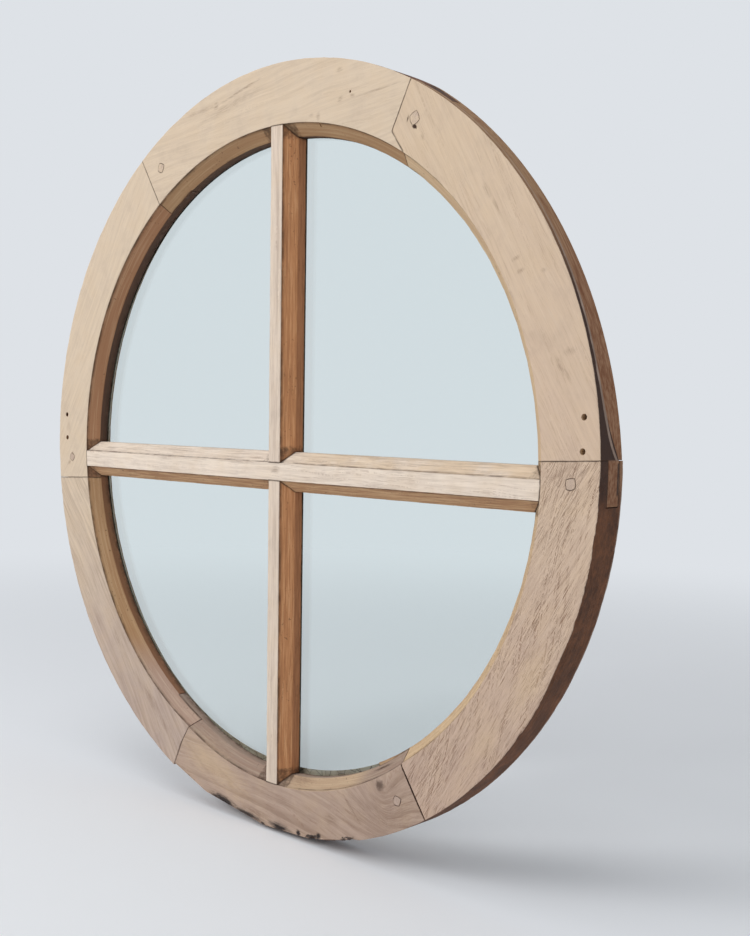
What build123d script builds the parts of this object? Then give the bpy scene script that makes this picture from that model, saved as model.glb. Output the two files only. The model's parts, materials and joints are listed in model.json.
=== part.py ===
from build123d import *
from collections import namedtuple
import math
import os

# A round oak window with its frame, without the wall. It stands upright in the XZ plane, its face
# looks along -Y, and the origin is the centre of the ring on the plane of the face. "Depth" is the
# distance behind that plane, along +Y. Angles are read on the face, from +X towards +Z.

# Ring
ring_radius = 350.0
face_width = 52.3
ring_depth = 32.0

# Moulding on the inner side of the ring and on both sides of the bars
quirk_depth = 1.5
bevel_width = 10.0
bevel_depth = 9.6
side_depth = 9.5
rebate_width = 8.0

# Glazing bars
vertical_bar_x = 2.6
horizontal_bar_z = -6.3
vertical_nose = 15.0
horizontal_nose = 16.6
bar_depth = 31.0
crossing_depth = 14.0
scribe_gap = 0.2
tenon_length = 12.0
tenon_width = 14.0
tenon_thickness = 6.0
tenon_wall = 1.5
mortise_gap = 0.2
mortise_end_gap = 1.0

# Open mortise joints between the felloes
slot_front = 11.0
slot_back = 27.0
tongue_length = 34.0
tongue_gap = 0.25
tongue_end_gap = 0.8
shoulder_gap = 0.4
open_shoulder_gap = 1.5

# Pegs, whittled to a blunt square: each corner's distance from the centre is a share of the width
peg_inset = 25.5
peg_corners = (0.6, 0.47, 0.55, 0.48, 0.57, 0.49, 0.54, 0.46)
peg_gap = 0.25
peg_taper = 0.6
peg_blind_depth = 3.0

# Glazing
glass_thickness = 3.0
glass_gap = 1.0
putty_width = 7.2
putty_height = 6.6
sprig_length = 9.0
sprig_width = 7.0
sprig_thickness = 0.7
sprig_gap = 0.1
sprig_bite = 4.0
sprig_spread = 19.0

# Screw and nail holes left in the face
screw_hole_diameter = 5.0
screw_hole_depth = 18.0
screw_hole_inset = 16.0
screw_hole_pitch = 25.0
right_screw_hole_z = 24.1
left_screw_hole_z = 15.1
nail_hole_diameter = 2.4
nail_hole_depth = 10.0
nail_hole_angle = 73.57
nail_hole_inset = 24.7

# The rim step is where the back of the upper right felloe's rim has split away, behind a slanting
# line that is given by angle and depth.
rim_step_depth = 5.4
rim_step_angle = 31.0
rim_step_half_angle = 32.0
rim_step_line = (
    (1.5, 30.0), (4.3, 21.0), (6.8, 13.8), (11.5, 8.0), (18.0, 6.6), (33.0, 7.0), (62.0, 9.0))

# Wane on the front edge of the rim, in flat facets: the felloe it is on, each one's angle, how far
# it reaches in on the face, and how deep it runs into the rim
Facet = namedtuple("Facet", "felloe angle inset depth")
wane_facets = (
    Facet("bottom", 249.5, 4.2, 14.0),
    Facet("bottom", 261.5, 6.0, 9.0),
    Facet("bottom", 272.5, 4.0, 12.0),
    Facet("bottom", 284.0, 2.6, 6.0),
    Facet("lower_right", 336.5, 2.2, 5.0),
)

# The bottom felloe's moulding is worn down within a shifted circle, and the foot of the upright
# bar is scribed to it. Right of the bar, up to a knot, its quirk has gone too.
worn_depth = 5.2
worn_angle = 275.0
worn_shift = 34.0
quirkless_width = 105.0

# A small cut across the front of the moulding at the top
nick_angle = 79.4
nick_length = 6.0
nick_width = 1.4
nick_depth = 5.0

# The joints, clockwise from the right: the felloe whose tongue enters it, the angle of its
# shoulder, its gap, the points where its line leaves the radius near the moulding, as distance
# inwards from the face's inner edge and distance sideways, and its peg's distance from the
# shoulder, width and turn
Joint = namedtuple("Joint", "felloe angle gap kinks peg_aside peg_width peg_turn")
joints = (
    Joint("upper_right", 2.95, shoulder_gap, (), 16.9, 8.6, 52.0),
    Joint("lower_right", -56.25, open_shoulder_gap, ((-2.0, 0.0), (12.0, 9.0)), 21.3, 8.0, 30.0),
    Joint("bottom", -114.9, shoulder_gap, ((-24.0, 0.0), (0.0, 3.5), (12.0, 8.0)), 18.5, 8.0, 20.0),
    Joint("lower_left", -175.4, shoulder_gap, ((0.0, 3.0), (12.0, 4.0)), 20.1, 7.6, 10.0),
    Joint("upper_left", 123.5, shoulder_gap, ((0.0, 2.3), (12.0, 2.5)), 18.7, 8.2, 25.0),
    Joint("top", 63.0, shoulder_gap, ((-10.0, 0.0), (0.0, -19.0), (12.0, -21.0)), 18.4, 9.2, 70.0),
)
blind_peg_joint = "bottom"

# Sizes that follow from the ones above
face_inner_radius = ring_radius - face_width
throat_radius = face_inner_radius - bevel_width
rebate_radius = throat_radius + rebate_width
peg_radius = ring_radius - peg_inset
screw_hole_x = ring_radius - screw_hole_inset
bevel_end = quirk_depth + bevel_depth
glass_front = bevel_end + side_depth
glass_back = glass_front + glass_thickness
tenon_front = bevel_end + tenon_wall
vertical_web = vertical_nose + 2 * (bevel_width - rebate_width)
horizontal_web = horizontal_nose + 2 * (bevel_width - rebate_width)

# How far a cutting shape runs past a face that it cuts through, and past the rim of the ring
past = 1.0
past_rim = 40.0


def at(angle, radius, sideways=0.0):
    """The point on the face at a radius along an angle, moved sideways towards larger angles."""
    c, s = math.cos(math.radians(angle)), math.sin(math.radians(angle))
    return (radius * c - sideways * s, radius * s + sideways * c)


def prism(points, front, back):
    """A prism on an outline drawn on the face, from one depth to another."""
    outline = Plane.XZ.offset(-front) * make_face(Polyline(*points, close=True))
    return extrude(outline, amount=back - front, dir=(0, 1, 0))


def disc(x, z, radius, front, back):
    """A round cutter about a point on the face, from one depth to another."""
    outline = Plane.XZ.offset(-front) * Pos(x, z) * Circle(radius)
    return extrude(outline, amount=back - front, dir=(0, 1, 0))


def turned(points):
    """A ring turned about the window's axis, from an outline of (radius, depth) points."""
    return revolve(make_face(Polyline(*points, close=True)), Axis.Y)


def box(x0, x1, front, back, z0, z1):
    return prism([(x0, z0), (x1, z0), (x1, z1), (x0, z1)], front, back)


def ring_blank():
    """The whole ring with its moulding and rebate, before it is divided into felloes."""
    return turned([
        (ring_radius, 0),
        (face_inner_radius, 0),
        (face_inner_radius, quirk_depth),
        (throat_radius, bevel_end),
        (throat_radius, glass_front),
        (rebate_radius, glass_front),
        (rebate_radius, ring_depth),
        (ring_radius, ring_depth),
    ])


def joint_line(joint, sideways, kinked):
    """The line of a joint from outside the ring to inside it, moved sideways from its shoulder."""
    kinks = joint.kinks if kinked else ()
    last = kinks[-1][1] if kinks else 0.0
    bends = [at(joint.angle, face_inner_radius - inwards, sideways + aside)
             for inwards, aside in kinks]
    outer = at(joint.angle, ring_radius + past_rim, sideways)
    inner = at(joint.angle, throat_radius - past_rim, sideways + last)
    return [outer, *bends, inner]


def span(first, first_sideways, last, last_sideways, kinked=False):
    """The outline between two joint lines, which takes in the whole width of the ring."""
    start = joint_line(first, first_sideways, kinked)
    end = joint_line(last, last_sideways, kinked)
    turn = (last.angle - first.angle) % 360
    far = [at(first.angle + turn * share, ring_radius + 2 * past_rim)
           for share in (0.25, 0.5, 0.75)]
    return [*reversed(start), *far, *end]


def felloe(blank, tongue_joint, slot_joint):
    """One felloe: a tongue at its clockwise end, and a slot between two cheeks at the other."""
    gap, next_gap = tongue_joint.gap / 2, slot_joint.gap / 2
    slot_end = -tongue_length - tongue_end_gap
    face = span(tongue_joint, gap, slot_joint, -next_gap, kinked=True)
    rear = span(tongue_joint, gap, slot_joint, -next_gap)
    middle = span(tongue_joint, gap, slot_joint, slot_end)
    tongue = span(tongue_joint, -tongue_length, slot_joint, slot_end)
    form = prism(face, 0, slot_front) + prism(rear, slot_back, ring_depth)
    form += prism(middle, slot_front, slot_back)
    form += prism(tongue, slot_front + tongue_gap, slot_back - tongue_gap)
    return blank & form


def peg_outline(joint, grow=0.0):
    """The eight-sided section of a joint's peg, or of its hole when it is grown by the gap."""
    x, z = at(joint.angle, peg_radius, -joint.peg_aside)
    width, step = joint.peg_width + 2 * grow, 360 / len(peg_corners)
    corners = [at(joint.peg_turn + step * n, width * share) for n, share in enumerate(peg_corners)]
    return [(x + dx, z + dz) for dx, dz in corners]


def peg_hole(joint):
    """The hole through both cheeks and the tongue, blind behind the face at the blind peg."""
    front = peg_blind_depth if joint.felloe == blind_peg_joint else -past
    return prism(peg_outline(joint, peg_gap), front, ring_depth + past)


def peg(joint):
    """A peg flush with both faces of the ring, slightly thinner at the back."""
    front = peg_blind_depth if joint.felloe == blind_peg_joint else 0.0
    wide = Plane.XZ.offset(-front) * make_face(Polyline(*peg_outline(joint), close=True))
    thin_points = peg_outline(joint, -peg_taper / 2)
    thin = Plane.XZ.offset(-ring_depth) * make_face(Polyline(*thin_points, close=True))
    return loft([wide.face(), thin.face()])


def bar_outline(nose, web):
    """Half widths and depths of a bar's section, from its flush nose to the web behind the glass."""
    side = [
        (nose / 2, 0),
        (nose / 2, quirk_depth),
        (nose / 2 + bevel_width, bevel_end),
        (nose / 2 + bevel_width, glass_front),
        (web / 2, glass_front),
        (web / 2, bar_depth),
    ]
    return side + [(-half, depth) for half, depth in reversed(side)]


def moulding_line(sunk, quirk=True):
    """Radius and depth along the moulding, from the face to the glass, sunk below its place."""
    if quirk:
        first = [(face_inner_radius + sunk, -past), (face_inner_radius + sunk, quirk_depth)]
    else:
        first = [(throat_radius + sunk + (bevel_end + past) * bevel_width / bevel_depth, -past)]
    return first + [(throat_radius + sunk, bevel_end), (throat_radius + sunk, glass_front)]


def ring_inside():
    """The space inside the ring, into which a bar's ends are scribed."""
    return turned([
        (0, -past),
        *moulding_line(-scribe_gap),
        (rebate_radius - scribe_gap, glass_front),
        (rebate_radius - scribe_gap, ring_depth + past),
        (0, ring_depth + past),
    ])


def worn_inside(gap=0.0, quirk=True):
    """The space in front of the glass that wear has opened in the bottom felloe's moulding."""
    line = moulding_line(worn_depth - worn_shift - gap, quirk)
    x, z = at(worn_angle, worn_shift)
    return Pos(x, 0, z) * turned([(0, -past), *line, (0, glass_front)])


def worn_moulding():
    """What wear has taken off the bottom felloe, with the quirk where the bar's foot stands."""
    left = vertical_bar_x + vertical_nose / 2 + bevel_width
    right = left + quirkless_width
    zone = box(left, right, -past, glass_front, -ring_radius, 0)
    return [worn_inside(), worn_inside(quirk=False) & zone]


def vertical_blank():
    outline = make_face(Polyline(*bar_outline(vertical_nose, vertical_web), close=True))
    placed = Pos(vertical_bar_x, 0, -ring_radius) * outline
    return extrude(placed, amount=2 * ring_radius, dir=(0, 0, 1))


def horizontal_blank():
    points = [(depth, half) for half, depth in bar_outline(horizontal_nose, horizontal_web)]
    outline = Plane.YZ.offset(-ring_radius) * make_face(Polyline(*points, close=True))
    return extrude(Pos(0, 0, horizontal_bar_z) * outline, amount=2 * ring_radius, dir=(1, 0, 0))


def tenon(end, grow=0.0, longer=0.0):
    """The stub tenon at one end of a bar, or with its clearances the mortise for it."""
    near, far = throat_radius - bevel_width, throat_radius + tenon_length + longer
    half = tenon_width / 2 + grow
    front, back = tenon_front - grow, tenon_front + tenon_thickness + grow
    sign = 1 if end in ("right", "top") else -1
    low, high = sorted((sign * near, sign * far))
    if end in ("left", "right"):
        return box(low, high, front, back, horizontal_bar_z - half, horizontal_bar_z + half)
    return box(vertical_bar_x - half, vertical_bar_x + half, front, back, low, high)


def glazing_bars():
    """Both bars, halved at the crossing. The horizontal one keeps its face there."""
    inside = ring_inside()
    upright = vertical_blank() & (inside + worn_inside(scribe_gap))
    rail = horizontal_blank() & inside
    front_half = disc(0, 0, ring_radius, -past, crossing_depth)
    back_half = disc(0, 0, ring_radius, crossing_depth, ring_depth + past)
    vertical = upright - (horizontal_blank() & front_half)
    horizontal = rail - (vertical_blank() & back_half)
    vertical += tenon("top") + tenon("bottom")
    horizontal += tenon("left") + tenon("right")
    return vertical, horizontal


def quarter(right, up, gap, front, back):
    """The quarter of the ring's inside between the webs of the bars, from one depth to another."""
    x = vertical_bar_x + right * (vertical_web / 2 + gap)
    z = horizontal_bar_z + up * (horizontal_web / 2 + gap)
    x0, x1 = sorted((x, right * (ring_radius + past_rim)))
    z0, z1 = sorted((z, up * (ring_radius + past_rim)))
    return box(x0, x1, front, back, z0, z1)


def pane(right, up):
    whole = disc(0, 0, rebate_radius - glass_gap, glass_front, glass_back)
    return whole & quarter(right, up, glass_gap, glass_front - past, glass_back + past)


def putty(right, up):
    """A sloping fillet round one pane, against the ring's rebate and the webs of the bars."""
    wall = rebate_radius - scribe_gap
    top = glass_back + putty_height
    x = vertical_bar_x + right * vertical_web / 2
    z = horizontal_bar_z + up * horizontal_web / 2
    beside_ring = turned([(wall, glass_back), (wall - putty_width, glass_back), (wall, top)])
    upright = [(x, glass_back), (x + right * putty_width, glass_back), (x, top)]
    level = [(glass_back, z), (glass_back, z + up * putty_width), (top, z)]
    beside_vertical = extrude(
        Pos(0, 0, -ring_radius) * make_face(Polyline(*upright, close=True)),
        amount=2 * ring_radius, dir=(0, 0, 1))
    beside_horizontal = extrude(
        Plane.YZ.offset(-ring_radius) * make_face(Polyline(*level, close=True)),
        amount=2 * ring_radius, dir=(1, 0, 0))
    corner = quarter(right, up, 0, glass_back - past, ring_depth + past)
    inside = disc(0, 0, wall, 0, ring_depth + past)
    return (beside_ring + beside_vertical + beside_horizontal) & corner & inside


def sprig_outline(x, z, heading, grow):
    """A triangle whose point bites into the wood from (x, z), along heading."""
    tip, base = sprig_bite + grow, sprig_bite - sprig_length - grow
    half = sprig_width / 2 + grow
    points = [(tip, 0.0), (base, half), (base, -half)]
    return [tuple(a + b for a, b in zip((x, z), at(heading, u, v))) for u, v in points]


def sprig_places():
    """Where each sprig enters the wood: two in the ring and one in each bar, for every pane."""
    places = []
    for right in (1, -1):
        for up in (1, -1):
            middle = math.degrees(math.atan2(up, right))
            for aside in (-sprig_spread, sprig_spread):
                places.append((*at(middle + aside, rebate_radius), middle + aside))
            x = vertical_bar_x + right * vertical_web / 2
            z = horizontal_bar_z + up * horizontal_web / 2
            places.append((x, up * rebate_radius / 2, 180.0 if right > 0 else 0.0))
            places.append((right * rebate_radius / 2, z, -90.0 if up > 0 else 90.0))
    return places


def sprigs(grow=0.0):
    """All glazing sprigs, flat on the glass, or with a clearance the pockets that they lie in."""
    back = glass_back + sprig_thickness + grow
    return [prism(sprig_outline(*place, grow), glass_back, back) for place in sprig_places()]


def face_holes():
    """The empty screw holes at both sides and the nail hole at the top."""
    lowest = [(screw_hole_x, right_screw_hole_z), (-screw_hole_x, left_screw_hole_z)]
    screws = [(x, z + n * screw_hole_pitch) for x, z in lowest for n in (0, 1)]
    holes = [disc(x, z, screw_hole_diameter / 2, -past, screw_hole_depth) for x, z in screws]
    x, z = at(nail_hole_angle, ring_radius - nail_hole_inset)
    nail = disc(x, z, nail_hole_diameter / 2, -past, nail_hole_depth)
    return holes + [nail]


def rim_step():
    """What has split away from the rim, outside a shifted circle and behind the slanting line."""
    drop = ring_radius * (1 - math.cos(math.radians(rim_step_half_angle)))
    shift = rim_step_depth * (ring_radius - rim_step_depth / 2) / (drop - rim_step_depth)
    left_radius = ring_radius - rim_step_depth + shift
    x, z = at(rim_step_angle, -shift)
    outside = disc(0, 0, ring_radius + past_rim, 0, ring_depth + past)
    outside -= disc(x, z, left_radius, 0, ring_depth + past)
    line = [(depth, at(angle, ring_radius)[1]) for angle, depth in rim_step_line]
    behind = ring_depth + past_rim
    back = Polyline(line[-1], (behind, line[-1][1]), (behind, line[0][1]), line[0])
    zone = extrude(Plane.YZ * make_face([Spline(*line), back]), amount=ring_radius + past_rim)
    return outside & zone


def wane(facet):
    """A flat facet across the front outer edge, as a wedge to cut out."""
    low = (ring_radius - 1.5 * facet.inset, -0.5 * facet.depth)
    high = (ring_radius + facet.inset, 2 * facet.depth)
    wedge = make_face(Polyline(low, high, (high[0], low[1]), close=True))
    length = 4 * math.sqrt(ring_radius * facet.inset)
    placed = extrude(Pos(0, 0, -length / 2) * wedge, amount=length, dir=(0, 0, 1))
    return placed.rotate(Axis.Y, -facet.angle)


def nick():
    half = nick_width / 2
    start, end = face_inner_radius - nick_length, face_inner_radius
    corners = [(start, -half), (start, half), (end, half), (end, -half)]
    return prism([at(nick_angle, r, v) for r, v in corners], -past, nick_depth)


def main():
    os.makedirs("parts", exist_ok=True)
    blank = ring_blank()
    parts = {}
    cuts = [tenon(end, mortise_gap, mortise_end_gap) for end in ("left", "right", "top", "bottom")]
    cuts += [peg_hole(joint) for joint in joints] + face_holes()
    pockets = sprigs(sprig_gap)
    for n, joint in enumerate(joints):
        piece = felloe(blank, joint, joints[n - 1])
        parts["felloe_" + joint.felloe] = piece - cuts - pockets
    for felloe_name in ("upper_right", "top"):
        parts["felloe_" + felloe_name] -= rim_step()
    for facet in wane_facets:
        parts["felloe_" + facet.felloe] -= wane(facet)
    parts["felloe_bottom"] -= worn_moulding()
    parts["felloe_top"] -= nick()
    vertical, horizontal = glazing_bars()
    parts["glazing_bar_vertical"] = vertical - pockets
    parts["glazing_bar_horizontal"] = horizontal - pockets
    for side, right in (("right", 1), ("left", -1)):
        for height, up in (("upper", 1), ("lower", -1)):
            parts[f"pane_{height}_{side}"] = pane(right, up)
            parts[f"putty_{height}_{side}"] = putty(right, up) - pockets
    parts["joint_pegs"] = Compound([peg(joint) for joint in joints])
    parts["glazing_sprigs"] = Compound(sprigs())
    for name, shape in parts.items():
        export_step(shape, f"parts/{name}.step")


if __name__ == "__main__":
    main()
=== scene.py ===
import json
import math
from collections import namedtuple
from functools import partialmethod, reduce

import bmesh
import bpy
from bpy.props import FloatProperty, FloatVectorProperty, IntProperty, PointerProperty
from mathutils import Matrix, Vector

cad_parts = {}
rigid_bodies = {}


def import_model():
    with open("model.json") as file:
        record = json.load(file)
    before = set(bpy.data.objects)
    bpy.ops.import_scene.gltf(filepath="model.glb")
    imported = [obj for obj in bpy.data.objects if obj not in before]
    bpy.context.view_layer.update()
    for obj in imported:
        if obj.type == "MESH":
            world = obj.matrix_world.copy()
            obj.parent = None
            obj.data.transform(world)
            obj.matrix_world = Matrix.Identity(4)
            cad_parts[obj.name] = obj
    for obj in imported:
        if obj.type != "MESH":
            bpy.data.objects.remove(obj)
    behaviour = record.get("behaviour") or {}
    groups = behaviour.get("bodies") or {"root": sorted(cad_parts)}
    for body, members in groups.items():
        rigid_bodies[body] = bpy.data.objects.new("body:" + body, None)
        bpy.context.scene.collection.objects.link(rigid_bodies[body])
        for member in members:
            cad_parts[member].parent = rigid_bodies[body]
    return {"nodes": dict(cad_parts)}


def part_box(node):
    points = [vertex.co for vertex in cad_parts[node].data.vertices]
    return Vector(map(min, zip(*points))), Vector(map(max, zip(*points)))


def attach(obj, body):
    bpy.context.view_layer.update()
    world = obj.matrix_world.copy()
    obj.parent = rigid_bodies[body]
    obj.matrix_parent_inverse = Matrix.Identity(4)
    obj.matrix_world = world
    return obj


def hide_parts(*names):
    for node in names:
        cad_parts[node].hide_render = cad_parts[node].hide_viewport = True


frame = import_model()

bl_info = {
    "name": "Round oak window",
    "version": (1, 0, 0),
    "blender": (4, 5, 0),
    "location": "View3D > Sidebar > Window",
    "description": "Dresses the solids of a round oak window with worn wood, glass and putty",
    "category": "Object",
}

MM = 0.001
FRONT, BACK = (corner.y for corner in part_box("felloe_top"))
GLASS_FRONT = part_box("pane_upper_right")[0].y
UPRIGHT_BAR_X = sum(corner.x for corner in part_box("glazing_bar_vertical")) / 2
LEVEL_BAR_Z = sum(corner.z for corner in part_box("glazing_bar_horizontal")) / 2
RING_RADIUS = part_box("felloe_upper_right")[1].x


# Sizes, wear, colours and lamps that a user would change

def length(name, description, millimetres):
    return FloatProperty(name=name, description=description, default=millimetres * MM,
                         unit="LENGTH", subtype="DISTANCE", precision=4)


def angle(name, description, degrees):
    return FloatProperty(name=name, description=description, default=math.radians(degrees),
                         unit="ROTATION", subtype="ANGLE")


def power(name, description, watts):
    return FloatProperty(name=name, description=description, default=watts, unit="POWER", min=0.0)


def colour(name, description, red, green, blue):
    """A colour property from the display values of a paint chip, 0 to 255."""
    linear = [((c / 255 + 0.055) / 1.055) ** 2.4 for c in (red, green, blue)]
    return FloatVectorProperty(name=name, description=description, default=linear,
                               subtype="COLOR", size=3, min=0.0, max=1.0)


class WindowSizes(bpy.types.PropertyGroup):
    """Sizes of the moulding, which the solids have too."""
    ring_radius: length("Ring radius", "Outer radius of the ring", RING_RADIUS / MM)
    face_width: length("Face width", "Width of the ring's flat face", 52.3)
    quirk_depth: length("Quirk", "Step down at the edge of the face", 1.5)
    bevel_width: length("Bevel width", "Width of the moulding's slope", 10.0)
    bevel_depth: length("Bevel depth", "Depth of the moulding's slope", 9.6)
    rebate_width: length("Rebate", "Width of the ledge behind which the glass lies", 8.0)
    vertical_nose: length("Vertical nose", "Width of the vertical bar's face", 15.0)
    horizontal_nose: length("Horizontal nose", "Width of the horizontal bar's face", 16.6)
    mesh_step: length("Mesh step", "Distance between the points of the finished meshes", 1.6)


class WindowWear(bpy.types.PropertyGroup):
    """How far age and sanding have worn the wood."""
    loss: length("Loss", "What sanding has taken off everywhere", 0.2)
    unevenness: length("Unevenness", "Height of the broad waves left by hand work", 0.15)
    arris_radius: length("Arris radius", "Rounding of every edge", 0.7)
    arris_wear: length("Arris wear", "Further loss along the edges, here and there", 0.35)
    wane_depth: length("Wane depth", "Loss along the ragged edge of the bottom felloe", 4.0)
    wane_from: angle("Wane from", "Where the ragged edge starts", 246)
    wane_to: angle("Wane to", "Where the ragged edge ends", 291)
    chip_depth: length("Chips", "Loss along the front edge of the lower right felloe", 1.0)
    chip_from: angle("Chips from", "Where the chipped edge starts", 322)
    chip_to: angle("Chips to", "Where the chipped edge ends", 363)
    sunk_depth: length("Sunk depth", "How far the bottom moulding is worn down", 5.2)
    sunk_shift: length("Sunk shift", "How far the circle of that wear lies off centre", 34.0)
    sunk_angle: angle("Sunk angle", "Where that wear is deepest", 275)
    sunk_reach: length("Sunk reach", "How far into the face the mesh gives way to it", 25.0)
    seed: IntProperty(name="Seed", description="Changes where the wear falls", default=7, min=0)


class WindowFinish(bpy.types.PropertyGroup):
    """Colours of the wood, the glass and the putty."""
    cream: colour("Cream oak", "Sanded face, at the top and left", 215, 195, 171)
    peach: colour("Peach oak", "Sanded face, at the upper right", 212, 189, 163)
    sand: colour("Sand oak", "Sanded face, at the right", 209, 184, 161)
    rose: colour("Rose oak", "Sanded face, at the lower right", 194, 167, 149)
    fawn: colour("Fawn oak", "Sanded face, at the lower left", 186, 165, 152)
    tan: colour("Tan oak", "Sanded face, at the bottom", 181, 157, 141)
    white: colour("White oak", "The palest, bleached wood", 237, 221, 204)
    straw: colour("Straw oak", "Palest moulding, yellowish", 213, 185, 149)
    wheat: colour("Wheat oak", "Under side of the level bar", 204, 164, 124)
    honey: colour("Honey oak", "Moulding of the upright bar", 200, 142, 96)
    olive: colour("Olive oak", "Moulding at the top and at the lower left", 172, 138, 102)
    umber: colour("Umber oak", "Darkest moulding, at the upper left", 164, 122, 90)
    bone: colour("Bone oak", "Nose of the upright bar", 226, 208, 190)
    russet: colour("Russet oak", "Straight sides of the upright bar", 186, 126, 86)
    deep: colour("Deep oak", "Streaks in the moulding", 134, 84, 54)
    ash: colour("Ash grey oak", "Moulding at the bottom", 163, 144, 130)
    side: colour("Straight side", "Side of the moulding next to the glass", 140, 98, 70)
    # Painted shade with grime: this colour makes the straight side by the glass as dark as the shade
    # that falls in that recess.
    side_dark: colour("Dark side", "The same where old varnish is left", 74, 58, 50)
    rim: colour("Rim", "Outer rim of the ring, never sanded", 126, 81, 53)
    rim_dark: colour("Dark rim", "Older parts of the outer rim", 73, 47, 33)
    rim_black: colour("Black rim", "Oldest part of the outer rim", 60, 41, 33)
    split: colour("Split wood", "Where wood has split away from the rim", 166, 126, 96)
    bark: colour("Bark", "What is left of the bark on the ragged edge", 48, 40, 38)
    stain: colour("Stain", "Grey-brown growth lines, smudges and scratches", 131, 105, 88)
    pore: colour("Pores", "Open pores of the oak", 120, 84, 62)
    # This colour is real grime in joints, spots and cracks, and also painted shade in the section's
    # hollows, where the bars meet the ring and on the straight side by the glass.
    dirt: colour("Dirt", "Dirt and old varnish in corners and joints", 62, 44, 33)
    rear: colour("Back", "Back of the ring and bars", 150, 118, 88)
    putty: colour("Putty", "Hard old putty", 196, 188, 170)
    glass: colour("Glass", "Tint of the old panes", 240, 248, 247)
    steel: colour("Steel", "Glazing sprigs", 120, 112, 106)


class WindowStage(bpy.types.PropertyGroup):
    """Floor, backdrop and lamps."""
    floor: colour("Floor", "Colour of the floor", 240, 242, 245)
    backdrop: colour("Backdrop", "Colour behind the window", 222, 226, 231)
    floor_radius: length("Floor radius", "Size of the floor", 9000.0)
    sky: FloatProperty(name="Sky", description="Strength of the light from all round",
                       default=0.42, min=0.0)
    key: power("Key", "Large lamp in front, at the left", 57.0)
    fill: power("Fill", "Lamp in front, at the right", 8.0)
    top: power("Top", "Lamp overhead", 16.0)


class WindowSettings(bpy.types.PropertyGroup):
    """All of these together."""
    sizes: PointerProperty(type=WindowSizes)
    wear: PointerProperty(type=WindowWear)
    finish: PointerProperty(type=WindowFinish)
    stage: PointerProperty(type=WindowStage)


def settings():
    return bpy.context.scene.round_window


# Node trees

class Field:
    """What a socket gives at each point, with the usual arithmetic."""

    def __init__(self, tree, socket):
        self.tree, self.socket = tree, socket

    def math(self, operation, *values):
        return self.tree.math(operation, self, *values)

    __add__ = __radd__ = partialmethod(math, "ADD")
    __sub__ = partialmethod(math, "SUBTRACT")
    __mul__ = __rmul__ = partialmethod(math, "MULTIPLY")
    __truediv__ = partialmethod(math, "DIVIDE")
    __pow__ = partialmethod(math, "POWER")
    least = partialmethod(math, "MINIMUM")
    most = partialmethod(math, "MAXIMUM")
    size = partialmethod(math, "ABSOLUTE")

    def __rsub__(self, value):
        return self.tree.math("SUBTRACT", value, self)

    def __rtruediv__(self, value):
        return self.tree.math("DIVIDE", value, self)

    def between(self, low, high):
        """0 below low, 1 above high and smooth between, or the other way if low is larger."""
        return self.tree.field("ShaderNodeMapRange", {
            "Value": self, "From Min": low, "From Max": high, "To Min": 0, "To Max": 1},
            interpolation_type="SMOOTHSTEP")

    def within(self, middle, half, soft):
        """1 within half of a middle value, falling to 0 over a soft edge."""
        return (self - middle).size().between(half + soft, half)


class Tree:
    """A node tree, to which every node is added in one way."""

    def __init__(self, tree, owner=None):
        self.tree, self.owner = tree, owner
        tree.nodes.clear()

    def node(self, kind, sockets=None, **options):
        """Adds a node, sets its options first, and then its sockets by name or number."""
        node = self.tree.nodes.new(kind)
        for name, value in options.items():
            setattr(node, name, value)
        for name, value in (sockets or {}).items():
            source = getattr(value, "socket", value)
            if isinstance(source, bpy.types.NodeSocket):
                self.tree.links.new(source, node.inputs[name])
            else:
                node.inputs[name].default_value = source
        return node

    def field(self, kind, sockets=None, output=0, **options):
        return Field(self, self.node(kind, sockets, **options).outputs[output])

    def math(self, operation, *values):
        return self.field("ShaderNodeMath", dict(enumerate(values)), operation=operation)

    def split(self, vector):
        node = self.node("ShaderNodeSeparateXYZ", {0: vector})
        return [Field(self, socket) for socket in node.outputs]

    def join(self, x, y, z):
        return self.field("ShaderNodeCombineXYZ", {0: x, 1: y, 2: z})

    def vector(self, operation, *values):
        return self.field("ShaderNodeVectorMath", dict(enumerate(values)), operation=operation)

    def scaled(self, vector, factor):
        return self.field("ShaderNodeVectorMath", {0: vector, "Scale": factor}, operation="SCALE")

    def place(self):
        """Object coordinates, in metres."""
        return self.field("ShaderNodeTexCoord", output=3)

    def place_mm(self):
        return self.scaled(self.place(), 1 / MM)

    def noise(self, vector, detail=2, roughness=0.5, scale=1):
        """Smooth noise from about 0 to 1."""
        return self.field("ShaderNodeTexNoise", {
            "Vector": vector, "Scale": scale, "Detail": detail, "Roughness": roughness})

    def attribute(self, name):
        return self.field("ShaderNodeAttribute", output=2, attribute_name=name)

    def mix(self, factor, first, second):
        """A blend of two colours, each a field or the name of one of the finish."""
        return self.field("ShaderNodeMix", {0: factor, 6: opaque(first), 7: opaque(second)}, 2,
                          data_type="RGBA")

    def bump(self, height, relief):
        return self.field("ShaderNodeBump", {"Strength": 1, "Distance": relief, "Height": height})


def opaque(value):
    """A colour of the finish, by its name, for a colour socket. Fields stay as they are."""
    return value if isinstance(value, Field) else (*getattr(settings().finish, value), 1)


def hypotenuse(one, other):
    return (one ** 2 + other ** 2).math("SQRT")


def new_material(name):
    material = bpy.data.materials.new(name)
    material.use_nodes = True
    return Tree(material.node_tree, material)


def finished(tree, shader):
    """Ends a material's tree with its shader, and gives the material."""
    tree.node("ShaderNodeOutputMaterial", {"Surface": shader})
    return tree.owner


def surface(ground, roughness, height=None, relief=0, **sockets):
    """A material from its colour, its roughness and the height of its relief in metres."""
    tree = ground.tree
    sockets = {"Base Color": ground, "Roughness": roughness, "Specular IOR Level": 0.3, **sockets}
    if height is not None:
        sockets["Normal"] = tree.bump(height, relief)
    return finished(tree, tree.field("ShaderNodeBsdfPrincipled", sockets))


# Wood, with sizes and places in millimetres

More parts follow.
